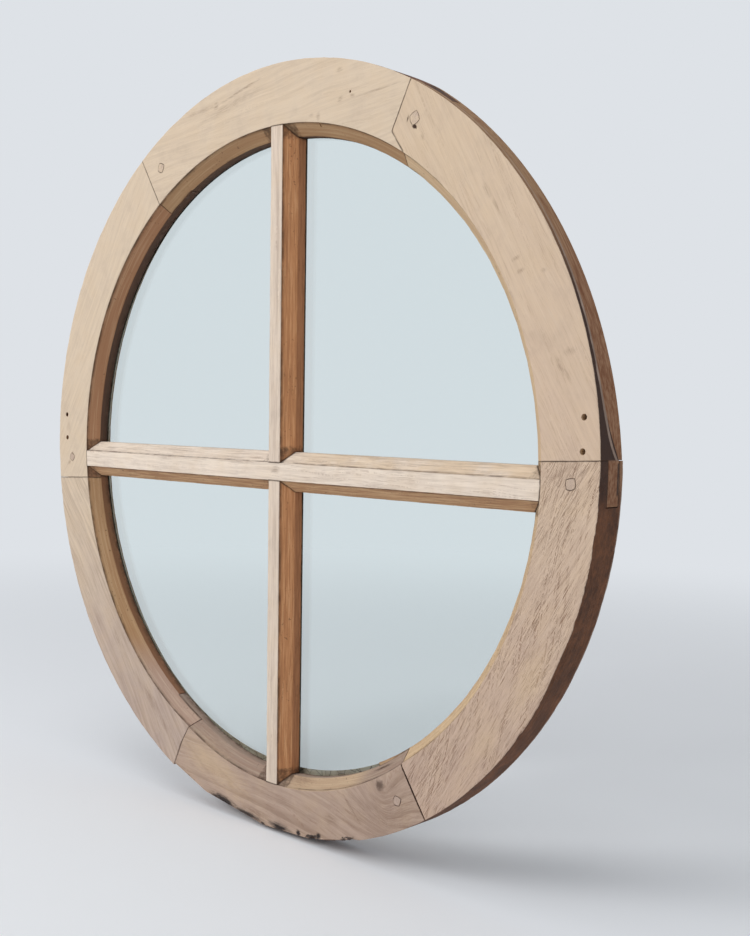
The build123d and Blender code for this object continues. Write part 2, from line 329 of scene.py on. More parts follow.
Knot = namedtuple("Knot", "x z reach turns heart")
Mark = namedtuple("Mark", "x z length width turn strength colour")
Plank = namedtuple("Plank", "node seed high low bevel side ring_width figure lines silk pores "
                   "turn rows streak knots marks", defaults=(0, 0.1, 0.3, (), ()))


class Oak:
    """The material of one plank, and the fields that every oak surface is made of."""

    def __init__(self, plank, grain):
        shift_per_seed, knot_pull = Vector((97, 41, 63)), 16
        self.plank = plank
        self.tree = tree = new_material("oak_" + plank.node)
        self.place = tree.place_mm()
        self.x, self.depth, self.z = tree.split(self.place)
        self.shift = shift_per_seed * plank.seed
        self.turned = tree.field("ShaderNodeMapping", {
            "Vector": self.place, "Location": self.shift,
            "Rotation": (0, grain + math.radians(plank.turn), 0)})
        self.along, deep, across = tree.split(self.turned)
        wander = self.noise(0.005, 0.02) - 0.5
        ripple = self.noise(0.03, 0.1) - 0.5
        swirl = sum((self.distance(knot.x, knot.z) / -knot.reach).math("EXPONENT") * knot.turns
                    for knot in plank.knots)
        self.across = across + wander * plank.figure + ripple * 1.6 + swirl * knot_pull
        self.deep = deep + ripple * 1.2

    def noise(self, along, across, detail=2, roughness=0.5):
        """Noise with one scale along the grain and another across and deep."""
        place = self.tree.vector("MULTIPLY", self.turned, (along, across, across))
        return self.tree.noise(place, detail, roughness)

    def blotches(self, size, detail=2):
        """Noise that is as wide as it is long."""
        return self.tree.noise(self.place, detail, 0.6, 1 / size)

    def distance(self, x=0, z=0):
        """How far a point is from a place on the face."""
        return hypotenuse(self.x - x, self.z - z)

    def drawn(self, length, deep, across, detail=2, roughness=0.6):
        """Noise drawn out along the grain."""
        place = self.tree.join(self.along / length, self.deep / deep, across)
        return self.tree.noise(place, detail, roughness)

    def streaks(self, length, width, detail=2, roughness=0.6):
        """Streaks that follow the wandering grain."""
        return self.drawn(length, width, self.across / width, detail, roughness)

    def rings(self):
        """Growth rings, from 0 in the spring wood to 1 at the end of each year."""
        pith_aside, pith_behind = 24, 85
        radius = hypotenuse(self.across - (self.shift.z + pith_aside),
                            self.deep - (self.shift.y + pith_behind))
        return (radius / self.plank.ring_width).math("FRACT")

    def pores(self):
        """Open pores as fine dashes along the grain, closest together in rows at a slant to it."""
        slant = self.across + self.along * self.plank.rows
        rows = self.drawn(70, 8, slant / 2.6).between(0.45, 0.6)
        patch = self.noise(0.012, 0.05).between(0.3, 0.62)
        coarse = self.streaks(20, 0.5, 1, 0.5).between(0.57, 0.66)
        fine = self.streaks(6, 0.4, 1, 0.5).between(0.57, 0.67)
        dots = self.drawn(60, 4, slant / 0.9, 1, 0.5).between(0.6, 0.68)
        dots = dots * self.noise(0.45, 0.2, 1).between(0.42, 0.52)
        crowd = (rows * 0.6 + 0.4) * (patch * 0.5 + 0.5)
        return ((coarse + fine * 0.5) * crowd + dots * patch * 0.9).least(1)


def sanded(oak):
    """The sanded face: its ground colour, darker towards the bottom partly as painted shade, growth
    lines, silky streaks and faint blotches.
    """
    plank, tree = oak.plank, oak.tree
    low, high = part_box(plank.node)
    # Darker towards the bottom of the piece: partly the wood's own tone, partly painted shade.
    darker_down_partly_shade = oak.z.between(high.z / MM, low.z / MM)
    blotch = oak.noise(0.012, 0.03, 3, 0.6) - 0.5
    wood = tree.mix(darker_down_partly_shade + blotch * 0.9, plank.high, plank.low)
    cloud = oak.blotches(30, 4)
    wood = tree.mix(cloud.between(0.4, 0.7) * 0.2, wood, "straw")
    wood = tree.mix(cloud.between(0.5, 0.3) * 0.12, wood, "stain")
    rings = oak.rings()
    late = rings.between(0.5, 0.92) - rings.between(0.94, 1)
    lines = late * oak.noise(0.01, 0.04).between(0.35, 0.62)
    wood = tree.mix(lines * plank.lines, wood, "stain")
    silky = oak.streaks(70, 3, 3, 0.65).between(0.35, 0.7)
    wood = tree.mix(silky * plank.silk, wood, "stain")
    return tree.mix(oak.streaks(50, 2).between(0.5, 0.8) * 0.12, wood, "white")


def round_streaks(oak, middle):
    """Noise drawn out along the ring, as the moulding plane left it."""
    length, width = 70, 1.5
    cosine, sine = math.cos(middle), math.sin(middle)
    ahead = oak.z * cosine - oak.x * sine
    outward = oak.x * cosine + oak.z * sine
    run = (ahead / outward).math("ARCTANGENT") * (settings().sizes.ring_radius / MM)
    place = oak.tree.join(run / length, oak.depth / width, oak.distance() / width)
    return oak.tree.noise(place, 3, 0.6)


def moulded(oak, light, streak):
    """Wood that kept its old colour: streaked on the slope, and darker on the straight side, partly
    grime and partly painted shade in the recess by the glass.
    """
    plank, tree, sizes = oak.plank, oak.tree, settings().sizes
    slope_end = (sizes.quirk_depth + sizes.bevel_depth) / MM
    wood = tree.mix(streak.between(0.3, 0.7) * plank.streak, light, "deep")
    wood = tree.mix(streak.between(0.5, 0.35) * 0.15, wood, "straw")
    spots = oak.blotches(2.6, 1).between(0.66, 0.74) * oak.blotches(30).between(0.4, 0.6)
    wood = tree.mix(spots * 0.5, wood, "dirt")
    # The straight side: partly grime, partly painted shade.
    shade = tree.mix(streak.between(0.4, 0.7) * plank.streak, plank.side, "deep")
    return tree.mix(oak.depth.between(slope_end - 0.2, slope_end + 0.6) * 0.9, wood, shade)


def marked(oak, wood, shown):
    """Smudges, scratches and bits of bark in their own places, ragged along the grain."""
    ragged = oak.streaks(7, 1.5, 3, 0.65) - 0.5
    hatched = oak.streaks(9, 0.6).between(0.4, 0.6) * 0.7 + 0.3

    def patch(mark):
        aside, up, turn = oak.x - mark.x, oak.z - mark.z, math.radians(mark.turn)
        along = (aside * math.cos(turn) + up * math.sin(turn)) / (mark.length / 2)
        across = (up * math.cos(turn) - aside * math.sin(turn)) / (mark.width / 2)
        return (hypotenuse(along, across) + ragged * 1.6).between(1.35, 0.1) * mark.strength

    for name in sorted({mark.colour for mark in oak.plank.marks}):
        amount = reduce(Field.most, [patch(m) for m in oak.plank.marks if m.colour == name])
        amount = amount * hatched if name == "stain" else amount
        wood = oak.tree.mix(amount * shown, wood, name)
    return wood


def dirt_and_painted_shade(oak, wood, corner):
    """Grime and old varnish in joints and mitres, painted shade in the section's hollows such as the
    quirk, and grime with painted shade where the bars meet the ring and each other.
    """
    tree = oak.tree
    patchy = oak.noise(0.06, 0.1, 3, 0.6).between(0.3, 0.68)
    # Painted shade in the inner corners of the section, such as the quirk.
    wood = tree.mix(tree.attribute("hollow") * (patchy * 0.55 + 0.15), wood, "dirt")
    seam = tree.attribute("seam").between(1.3, 0.2)
    wood = tree.mix(seam * (patchy * 0.6 + 0.3), wood, "dirt")
    # Blotchy darkening where the bars meet the ring and at the crossing: grime and painted shade.
    smear_and_corner_shade = oak.blotches(3.6, 3) * 0.8 + corner * 0.75
    return tree.mix(smear_and_corner_shade.between(0.85, 1.3) * 0.75, wood, "dirt")


def ring_corner(oak):
    """1 where the bars meet the ring's moulding, falling to 0 some millimetres away."""
    sizes = settings().sizes
    inner = (sizes.ring_radius - sizes.face_width) / MM
    bar = sizes.bevel_width / MM + sizes.horizontal_nose / 2 / MM

    def near(aside, run):
        return aside.size().between(bar + 9, bar) * run.size().between(inner - 60, inner - 40)

    return near(oak.x - UPRIGHT_BAR_X / MM, oak.z).most(near(oak.z - LEVEL_BAR_Z / MM, oak.x))


def bar_corner(oak, upright):
    """1 at the ends of a bar and at the crossing, falling to 0 along the bar."""
    sizes = settings().sizes
    inner = (sizes.ring_radius - sizes.face_width - sizes.bevel_width) / MM
    run = (oak.z if upright else oak.x).size()
    other = sizes.horizontal_nose if upright else sizes.vertical_nose
    crossing = other / 2 / MM + sizes.bevel_width / MM
    return run.between(inner - 9, inner + 2).most(run.between(crossing + 6, crossing - 5))


def rim_oak(oak, radius):
    """The outer rim, never sanded: nearly black old wood in front, browner where it split away, and on
    the upper right a pale line painted as the highlight on the edge of the step.
    """
    outside, tree, node = settings().sizes.ring_radius / MM, oak.tree, oak.plank.node
    layers = oak.streaks(70, 2.2, 3, 0.65).between(0.3, 0.7)
    mottled = oak.blotches(16, 4).between(0.35, 0.7)
    wood = tree.mix(layers * 0.5 + mottled * 0.5, "rim_dark", "rim")
    edge = oak.depth.between(BACK / MM - 2.6, BACK / MM - 1.3) * oak.blotches(9).between(0.35, 0.5)
    wood = tree.mix(edge * 0.6, wood, "tan")
    if node == "felloe_lower_right":
        near_joint = oak.z.between(-30, 2) * oak.depth.between(15, 9)
        wood = tree.mix(near_joint * 0.8, wood, "rim_black")
        beside = oak.z.between(-12, 2) * oak.depth.between(26, 28)
        wood = tree.mix(beside * 0.7, wood, "split")
    if node == "felloe_upper_right":
        split = 1 - radius.between(outside - 1.2, outside - 0.5)
        old = tree.mix(layers * 0.4, "rim_black", "rim_dark")
        old = tree.mix(oak.z.between(130, 220) * 0.8, old, "rim")
        wood = tree.mix(split, old, tree.mix(layers, "rim", "split"))
        # A painted highlight: a pale line along the edge of the step in the rim, at a depth that changes
        # with the angle.
        degrees_up = (oak.z / oak.x).math("ARCTANGENT") * math.degrees(1)
        highlight_depth = (degrees_up * -0.28 + 0.4).math("EXPONENT") * 26 + 6.4
        step_edge_highlight = (oak.depth - highlight_depth + (mottled - 0.5) * 0.8).within(-0.9, 1, 0.9)
        wood = tree.mix(step_edge_highlight * (0.55 + mottled * 0.4), wood, "tan")
        wood = tree.mix(oak.z.between(130, 240) * (0.25 + layers * 0.6), wood, "olive")
        tongue = oak.z.between(19, 17)
        wood = tree.mix(tongue * 0.9, wood, tree.mix(layers, "split", "rim"))
        slot = oak.depth.within(25, 0.8, 0.5) * oak.z.within(4, 11, 2)
        wood = tree.mix(slot * 0.85, wood, "bark")
    return wood


def felloe_oak(plank, middle):
    """The oak of one felloe: sanded face, older moulding, dark rim and plain back."""
    oak = Oak(plank, middle + math.pi / 2)
    tree, outside = oak.tree, settings().sizes.ring_radius / MM
    glass, behind = GLASS_FRONT / MM, BACK / MM
    radius, ragged, pores = oak.distance(), oak.blotches(3), oak.pores()
    face = (oak.depth + ragged * 0.5).between(1.5, 0.9)
    rim = (radius + ragged).between(outside - 13, outside - 11)
    front = oak.depth.between(glass + 0.3, glass - 0.3)
    light = plank.bevel
    if plank.node == "felloe_bottom":
        yellow = oak.x.between(5, 35) * oak.x.between(130, 100)
        light = tree.mix(yellow * 0.6, light, "straw")
    if plank.node == "felloe_lower_left":
        light = tree.mix(oak.z.between(-185, -235), light, "tan")
    old = moulded(oak, light, round_streaks(oak, middle))
    # Blotchy darkening of the straight side towards the glass: grime and painted shade.
    at_glass = oak.depth.between(glass - 7, glass - 0.5)
    old = tree.mix(at_glass * oak.blotches(7, 3).between(0.3, 0.6) * 0.7, old, "dirt")
    rear = tree.mix(oak.streaks(90, 4, 3).between(0.3, 0.7) * 0.45, "rear", "rim")
    aged = tree.mix(rim, tree.mix(front, rear, old), rim_oak(oak, radius))
    aged = tree.mix(oak.depth.between(behind - 0.9, behind - 0.5), aged, rear)
    wood = tree.mix(face, aged, sanded(oak))
    wood = tree.mix(pores * (face * 0.45 + 0.25) * plank.pores, wood, "pore")
    for knot in plank.knots:
        gap = (oak.distance(knot.x, knot.z) + ragged * 5 - 2.5) / knot.heart
        wood = tree.mix(gap.between(1.2, 0.3) * 0.75 * face, wood, "rim_black")
    wood = marked(oak, wood, oak.depth.between(14, 9))
    if plank.node == "felloe_bottom":
        bare = tree.attribute("bared") + (oak.blotches(7, 3) - 0.5) * 0.9
        wood = tree.mix(bare.between(0.3, 0.6) * 0.9, wood, "bark")
    wood = dirt_and_painted_shade(oak, wood, ring_corner(oak) * (1 - face) * front * (1 - rim))
    height = 1 - pores * plank.pores * 0.8 - oak.streaks(30, 1.4) * 0.35
    return surface(wood, 0.66 + pores * 0.2 + (1 - face) * 0.08, height, 0.25 * MM)


def bar_oak(plank, upright):
    """The oak of one glazing bar: sanded nose, older slopes, darker straight sides, and on the level bar
    an upper slope painted as pale as the nose, standing in for light from above.
    """
    oak = Oak(plank, math.pi / 2 if upright else 0)
    tree, glass, pores = oak.tree, GLASS_FRONT / MM, oak.pores()
    face = (oak.depth + oak.blotches(3) * 0.4).between(1.5, 0.9)
    back = oak.depth.between(glass, glass + 1)
    nose = sanded(oak)
    streak = oak.streaks(40, 1.8, 3, 0.62)
    old = moulded(oak, plank.bevel, streak)
    if not upright:
        # Painted light from above: the level bar's upper slope takes the nose's pale colour, with
        # yellowing and streaks, while the lower slope keeps the darker moulding colour.
        middle = LEVEL_BAR_Z / MM
        yellow = oak.x.between(-10, 90) * oak.blotches(24).between(0.2, 0.6)
        upper = tree.mix(yellow * 0.55, nose, "straw")
        upper = tree.mix(streak.between(0.46, 0.78) * 0.55, upper, "stain")
        old = tree.mix(oak.z.between(middle - 1, middle + 1), old, upper)
    wood = tree.mix(face, tree.mix(back, old, "rear"), nose)
    wood = tree.mix(pores * 0.5 * plank.pores, wood, "pore")
    wood = marked(oak, wood, face)
    corner = bar_corner(oak, upright) * (1 if upright else 0.8)
    wood = dirt_and_painted_shade(oak, wood, corner * (1 - face * 0.75) * (1 - back))
    height = 1 - pores * plank.pores - oak.streaks(30, 1.4) * 0.5
    return surface(wood, 0.68 + pores * 0.15, height, 0.2 * MM)


def peg_oak():
    """End grain of the pegs: paler at the top and tan at the bottom, partly as painted shade, with pores
    as dots.
    """
    tree = new_material("oak_joint_pegs")
    place = tree.place_mm()
    x, depth, z = tree.split(place)
    low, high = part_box("joint_pegs")
    dots = tree.noise(place, 2, 0.6, 1.6).between(0.55, 0.7)
    soft = tree.noise(place, scale=0.22).between(0.3, 0.7)
    # Paler at the top, darker at the bottom: partly the wood's own tone, partly painted shade.
    wood = tree.mix(z.between(high.z / MM, low.z / MM), "peach", "tan")
    wood = tree.mix(soft * 0.5, wood, "fawn")
    wood = tree.mix(depth.between(BACK / MM - 2, BACK / MM - 0.5) * 0.8, wood, "rear")
    wood = tree.mix(dots * 0.5, wood, "pore")
    return surface(wood, 0.7 + dots * 0.2, 1 - dots, 0.15 * MM)


# Glass, putty and steel

def window_glass():
    """Clear old sheet glass with a faint tint and slow waves."""
    tree = new_material("glass_old")
    waves = tree.noise(tree.place(), 1, 0.5, 22)
    return finished(tree, tree.field("ShaderNodeBsdfPrincipled", {
        "Base Color": opaque("glass"), "Roughness": 0, "IOR": 1.5,
        "Transmission Weight": 1, "Normal": tree.bump(waves, 0.12 * MM)}))


def old_putty():
    """Hard putty, chalky, with fine cracks across it and a skin of dust."""
    tree = new_material("putty_old")
    place = tree.place_mm()
    cells = tree.field("ShaderNodeTexVoronoi", {
        "Vector": place, "Scale": 0.09, "Randomness": 1}, feature="DISTANCE_TO_EDGE")
    crack = 1 - cells.between(0.005, 0.03)
    dusty = tree.noise(place, 3, 0.6, 0.05).between(0.35, 0.7)
    grit = tree.noise(place, 3, 0.6, 1.1)
    chalk = tree.mix(crack * 0.7, tree.mix(dusty * 0.5, "putty", "rear"), "dirt")
    return surface(chalk, 0.8 + grit * 0.1, grit * 0.4 - crack, 0.3 * MM)


def sprig_steel():
    """Dull steel with a little rust."""
    tree = new_material("steel_sprigs")
    rust = tree.noise(tree.place(), 3, 0.6, 300).between(0.45, 0.65)
    metal = tree.mix(rust, "steel", "rim")
    return surface(metal, 0.4 + rust * 0.4, Metallic=1 - rust * 0.8)


# Shapes

def rounded(corners, radius, step):
    """A closed section from its corners: each is rounded, and long sides get points between.

    Gives the points, and for each how much it lies on an outer edge or in an inner corner.
    """
    count, arc_pieces, most_of_side = len(corners), 4, 0.35
    rows = []
    area = sum(corners[i - 1][0] * corners[i][1] - corners[i][0] * corners[i - 1][1]
               for i in range(count))
    for i, corner in enumerate(corners):
        here = Vector(corner)
        before, after = Vector(corners[i - 1]), Vector(corners[(i + 1) % count])
        back, ahead = before - here, after - here
        convex = (back.x * ahead.y - back.y * ahead.x) * area < 0
        cut = min(radius, most_of_side * back.length, most_of_side * ahead.length)
        start, end = here + back.normalized() * cut, here + ahead.normalized() * cut
        for n in range(arc_pieces + 1):
            t = n / arc_pieces
            point = start * (1 - t) ** 2 + here * 2 * t * (1 - t) + end * t ** 2
            rows.append((point, float(convex), float(not convex)))
        leave = after - ahead.normalized() * min(radius, most_of_side * ahead.length)
        pieces = math.ceil((leave - end).length / step)
        rows += [(end.lerp(leave, n / pieces), 0.0, 0.0) for n in range(1, pieces)]
    return zip(*rows)


def section(name, corners):
    """The outline of a section as an object, for the tree that sweeps it."""
    wear, sizes = settings().wear, settings().sizes
    points, arris, hollow = rounded(corners, wear.arris_radius, sizes.mesh_step)
    count = len(points)
    mesh = bpy.data.meshes.new(name)
    mesh.from_pydata([(p.x, p.y, 0.0) for p in points],
                     [(i, (i + 1) % count) for i in range(count)], [])
    for label, values in (("arris", arris), ("hollow", hollow)):
        mesh.attributes.new(label, "FLOAT", "POINT").data.foreach_set("value", values)
    return helper(name, mesh)


def linked(name, data):
    """A new object in the scene."""
    made = bpy.data.objects.new(name, data)
    bpy.context.scene.collection.objects.link(made)
    return made


def helper(name, mesh):
    """An object that only feeds a node tree, and is removed again by clear_helpers."""
    return linked("helper_" + name, mesh)


def clear_helpers():
    for made in [o for o in bpy.data.objects if o.name.startswith("helper_")]:
        bpy.data.objects.remove(made)


def merged(name, nodes):
    """One closed mesh from copies of some of the frame's solids."""
    shape = bmesh.new()
    for node in nodes:
        shape.from_mesh(frame["nodes"][node].data)
    bmesh.ops.remove_doubles(shape, verts=shape.verts, dist=0.001 * MM)
    mesh = bpy.data.meshes.new(name)
    shape.to_mesh(mesh)
    shape.free()
    if "custom_normal" in mesh.attributes:
        mesh.attributes.remove(mesh.attributes["custom_normal"])
    return helper(name, mesh)


def moulding(nose, throat, ledge, back):
    """The corners of the moulding from the edge of the face to the back: across and depth."""
    sizes = settings().sizes
    return [(nose, FRONT), (nose, sizes.quirk_depth),
            (throat, sizes.quirk_depth + sizes.bevel_depth), (throat, GLASS_FRONT),
            (ledge, GLASS_FRONT), (ledge, back)]


def felloe_angles(node):
    """The middle angle of a felloe and how far it reaches to either side."""
    low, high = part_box(node)
    middle = math.atan2((low.z + high.z) / 2, (low.x + high.x) / 2)
    turns = [math.atan2(vertex.co.z, vertex.co.x) - middle
             for vertex in frame["nodes"][node].data.vertices]
    return middle, max(abs((turn + math.pi) % (2 * math.pi) - math.pi) for turn in turns)


def sunk(turn_from_x, outward, depth, value):
    """How far outwards the wear within a shifted circle moves each point of the moulding."""
    sizes, wear = settings().sizes, settings().wear
    inner = sizes.ring_radius - sizes.face_width
    throat = inner - sizes.bevel_width
    turn, shift = turn_from_x - value("Sunk angle"), value("Sunk shift")
    circle = value("Sunk depth") + inner - shift
    chord = (circle ** 2 - (shift * turn.math("SINE")) ** 2).math("SQRT")
    loss = (chord + shift * turn.math("COSINE") - inner).most(0)

    def fade(start, width):
        return ((start + width - outward) / width).least(1).most(0)

    ledge = depth.math("GREATER_THAN", GLASS_FRONT - wear.arris_radius)
    front = fade(inner, wear.sunk_reach) * (1 - ledge)
    return loss * (front + fade(throat, sizes.rebate_width) * ledge)


def moulding_tree():
    """Sweeps a section along a curved or a straight piece, wears it, and cuts it to the solid."""
    group = bpy.data.node_groups.new("Worn moulding", "GeometryNodeTree")
    face = group.interface
    face.new_socket("Geometry", in_out="INPUT", socket_type="NodeSocketGeometry")
    for kind, names in (
            ("Object", ("Section", "Solid", "Neighbours")), ("Int", ("Steps",)),
            ("Float", ("Curved", "Start", "Sweep")), ("Vector", ("Origin", "Along", "Across")),
            ("Float", ("Loss", "Unevenness", "Arris wear", "Wane depth", "Wane from", "Wane to",
                       "Sunk depth", "Sunk shift", "Sunk angle", "Seed")),
            ("Material", ("Finish",))):
        for name in names:
            face.new_socket(name, in_out="INPUT", socket_type="NodeSocket" + kind)
    face.new_socket("Geometry", in_out="OUTPUT", socket_type="NodeSocketGeometry")
    tree = Tree(group)
    given = tree.node("NodeGroupInput").outputs

    def value(name):
        return Field(tree, given[name])

    def form(name):
        """The mesh of the object that an input names."""
        return tree.field("GeometryNodeObjectInfo", {"Object": value(name)}, "Geometry")

    def noted(shape, name, amount):
        """The shape with a value at each point, which its material reads by name."""
        return tree.field("GeometryNodeStoreNamedAttribute", {
            "Geometry": shape, "Name": name, "Value": amount}, data_type="FLOAT", domain="POINT")

    line = tree.field("GeometryNodeCurvePrimitiveLine", {
        "Start": (0, 0, 0), "End": (1, 0, 0)})
    line = tree.field("GeometryNodeResampleCurve", {"Curve": line, "Count": value("Steps")})
    outline = tree.field("GeometryNodeMeshToCurve", {"Mesh": form("Section")})
    swept = tree.field("GeometryNodeCurveToMesh", {
        "Curve": line, "Profile Curve": outline, "Fill Caps": True})
    swept = tree.field("GeometryNodeFlipFaces", {0: swept})

    share_along, outward, depth = tree.split(tree.field("GeometryNodeInputPosition"))
    outward, depth = outward * -1, depth * -1
    turn = value("Start") + share_along * value("Sweep")
    outward = outward + sunk(turn, outward, depth, value) * value("Curved")
    bent = tree.join(outward * turn.math("COSINE"), depth, outward * turn.math("SINE"))
    straight = tree.vector("ADD", value("Origin"), tree.scaled(value("Along"), share_along))
    straight = tree.vector("ADD", straight, tree.scaled(value("Across"), outward))
    straight = tree.vector("ADD", straight, tree.join(0, depth, 0))
    placed = tree.field("ShaderNodeMix", {0: value("Curved"), 4: straight, 5: bent}, 1,
                        data_type="VECTOR")
    swept = tree.field("GeometryNodeSetPosition", {"Geometry": swept, "Position": placed})

    place = tree.field("GeometryNodeInputPosition")
    x, deep, z = tree.split(place)
    shift_per_seed, fading_turn = tree.join(3.1, 1.7, 2.3), 0.07
    where = tree.vector("ADD", place, tree.scaled(shift_per_seed, value("Seed")))
    broad = (tree.noise(where, 1, 0.5, 14) - 0.35).most(0) * value("Unevenness") * 2
    patchy = tree.noise(where, 3, 0.6, 70).between(0.42, 0.75)
    arris = tree.field("GeometryNodeInputNamedAttribute", {"Name": "arris"}, data_type="FLOAT")
    worn = value("Loss") + broad + arris * patchy * value("Arris wear")
    turn = tree.math("ARCTAN2", z, x) + 2 * math.pi
    inside = turn.between(value("Wane from"), value("Wane from") + fading_turn) * (
        1 - turn.between(value("Wane to") - fading_turn, value("Wane to")))
    rim = settings().sizes.ring_radius
    edge = hypotenuse(x, z).between(rim - 7 * MM, rim - 1 * MM)
    edge = edge * (1 - deep.between(2 * MM, 11 * MM))
    bared = inside * edge * tree.noise(where, 5, 0.72, 42).between(0.4, 0.66)
    inward = tree.scaled(tree.vector("NORMALIZE", tree.join(x, 0, z)),
                         value("Wane depth") * bared * -1)
    moved = tree.vector("ADD", tree.scaled(tree.field("GeometryNodeInputNormal"), worn * -1),
                        inward)
    swept = noted(swept, "bared", bared)
    swept = tree.field("GeometryNodeSetPosition", {"Geometry": swept, "Offset": moved})

    cut = tree.node("GeometryNodeMeshBoolean", {"Mesh 2": swept}, operation="INTERSECT",
                    solver="MANIFOLD")
    group.links.new(form("Solid").socket, cut.inputs["Mesh 2"])
    gap = tree.field("GeometryNodeProximity", {0: form("Neighbours")}, "Distance",
                     target_element="FACES")
    kept = noted(Field(tree, cut.outputs["Mesh"]), "seam", gap / MM)
    kept = tree.field("GeometryNodeRealizeInstances", {"Geometry": kept})
    kept = tree.field("GeometryNodeSetMaterial", {"Geometry": kept, "Material": value("Finish")})
    tree.node("NodeGroupOutput", {0: kept})
    return group


def grow(name, group, values):
    """Runs a node tree on an empty mesh and gives its result as a plain object."""
    made = linked(name, bpy.data.meshes.new(name))
    modifier = made.modifiers.new("shape", "NODES")
    modifier.node_group = group
    for socket in group.interface.items_tree:
        if socket.item_type == "SOCKET" and socket.in_out == "INPUT" and socket.name in values:
            modifier[socket.identifier] = values[socket.name]
    bpy.context.view_layer.update()
    result = made.evaluated_get(bpy.context.evaluated_depsgraph_get())
    mesh = bpy.data.meshes.new_from_object(result)
    made.modifiers.clear()
    made.data = mesh
    if not mesh.polygons:
        raise RuntimeError(name + " came out empty")
    mesh.shade_smooth()
    mesh.set_sharp_from_angle(angle=math.radians(38))
    return made


def dress(plank, group, outline, finish, values):
    """Grows the worn piece of a plank, which takes its node's place on the root body."""
    node, wear = plank.node, settings().wear
    others = [name for name in frame["nodes"] if name != node]
    piece = grow("worn_" + node, group, {
        "Section": outline, "Solid": merged(node, [node]),
        "Neighbours": merged("round_" + node, others), "Seed": float(wear.seed + plank.seed),
        "Loss": wear.loss, "Unevenness": wear.unevenness, "Arris wear": wear.arris_wear,
        "Finish": finish, **values})
    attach(piece, "root")
    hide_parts(node)


def own_wear(node):
    """The wear that only one felloe has: a ragged edge and a sunk moulding, or a chipped edge."""
    wear = settings().wear
    if node == "felloe_bottom":
        names = ("wane_depth", "wane_from", "wane_to", "sunk_depth", "sunk_shift", "sunk_angle")
        return {name.capitalize().replace("_", " "): getattr(wear, name) for name in names}
    if node == "felloe_lower_right":
        return {"Wane depth": wear.chip_depth, "Wane from": wear.chip_from,
                "Wane to": wear.chip_to}
    return {}


def set_material(obj, material):
    obj.data.materials.clear()
    obj.data.materials.append(material)


# The planks, and what each shows where: a mark's turn is in degrees

def marks(name, *rows):
    """Marks of one colour, each from its x, z, length, width, turn and strength."""
    return tuple(Mark(*row, name) for row in rows)


